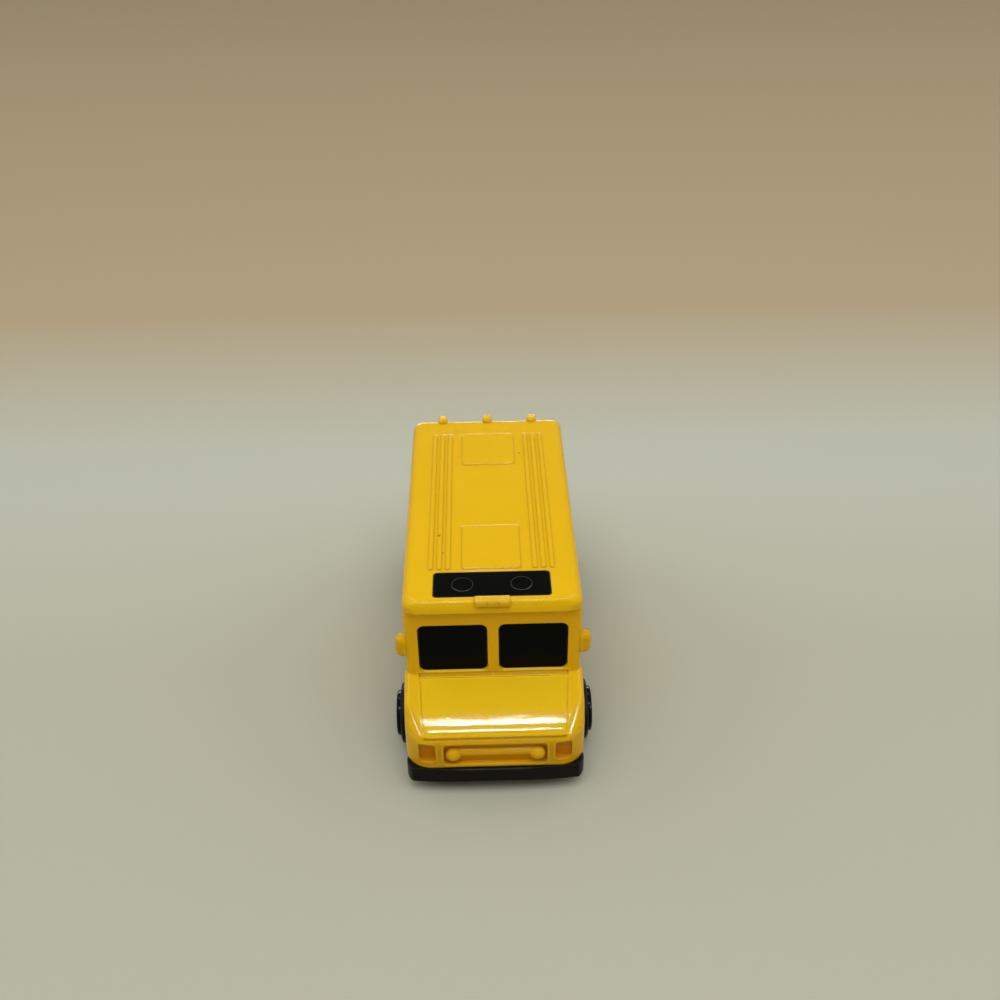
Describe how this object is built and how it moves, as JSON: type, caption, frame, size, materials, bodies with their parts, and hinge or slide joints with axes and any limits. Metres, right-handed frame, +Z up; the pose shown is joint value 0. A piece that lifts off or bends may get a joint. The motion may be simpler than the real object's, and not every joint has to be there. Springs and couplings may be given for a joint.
{
  "type": "toy step van",
  "caption": "Yellow die-cast toy step van with a cast shell, black window insert and roof panel, black base with bumpers, wire axles and free-rolling wheels.",
  "frame": {"origin": "on the ground, below the middle of the bounding box", "axes": "+Z up from the ground, +Y from the front bumper to the rear bumper, +X towards the left-hand side of someone sitting in the van"},
  "size_m": [0.0352, 0.07, 0.036],
  "materials": {
    "paint": "gloss yellow enamel on zinc",
    "glazing": "gloss black",
    "base": "semi-gloss black",
    "disc": "gloss black",
    "tread": "satin black",
    "wire": "drawn steel",
    "rivet": "bare steel"
  },
  "bodies": {
    "van": {"body_shell": "paint", "window_insert": "glazing", "chassis_base": "base", "front_rivet": "rivet", "rear_rivet": "rivet"},
    "front_axle": {"front_axle": "wire"},
    "rear_axle": {"rear_axle": "wire"},
    "wheel_front_left": {"wheel_front_left": "disc", "tyre_front_left": "tread"},
    "wheel_front_right": {"wheel_front_right": "disc", "tyre_front_right": "tread"},
    "wheel_rear_left": {"wheel_rear_left": "disc", "tyre_rear_left": "tread"},
    "wheel_rear_right": {"wheel_rear_right": "disc", "tyre_rear_right": "tread"}
  },
  "joints": [
    {"name": "front_axle_spin", "type": "hinge", "parent": "van", "child": "front_axle", "pos_m": [0, -0.0204, 0.0055], "axis": [1, 0, 0], "continuous": true},
    {"name": "rear_axle_spin", "type": "hinge", "parent": "van", "child": "rear_axle", "pos_m": [0, 0.018, 0.0055], "axis": [1, 0, 0], "continuous": true},
    {"name": "wheel_front_left_spin", "type": "hinge", "parent": "front_axle", "child": "wheel_front_left", "pos_m": [0.0153, -0.0204, 0.0055], "axis": [1, 0, 0], "continuous": true},
    {"name": "wheel_front_right_spin", "type": "hinge", "parent": "front_axle", "child": "wheel_front_right", "pos_m": [-0.0153, -0.0204, 0.0055], "axis": [1, 0, 0], "continuous": true},
    {"name": "wheel_rear_left_spin", "type": "hinge", "parent": "rear_axle", "child": "wheel_rear_left", "pos_m": [0.0153, 0.018, 0.0055], "axis": [1, 0, 0], "continuous": true},
    {"name": "wheel_rear_right_spin", "type": "hinge", "parent": "rear_axle", "child": "wheel_rear_right", "pos_m": [-0.0153, 0.018, 0.0055], "axis": [1, 0, 0], "continuous": true}
  ]
}
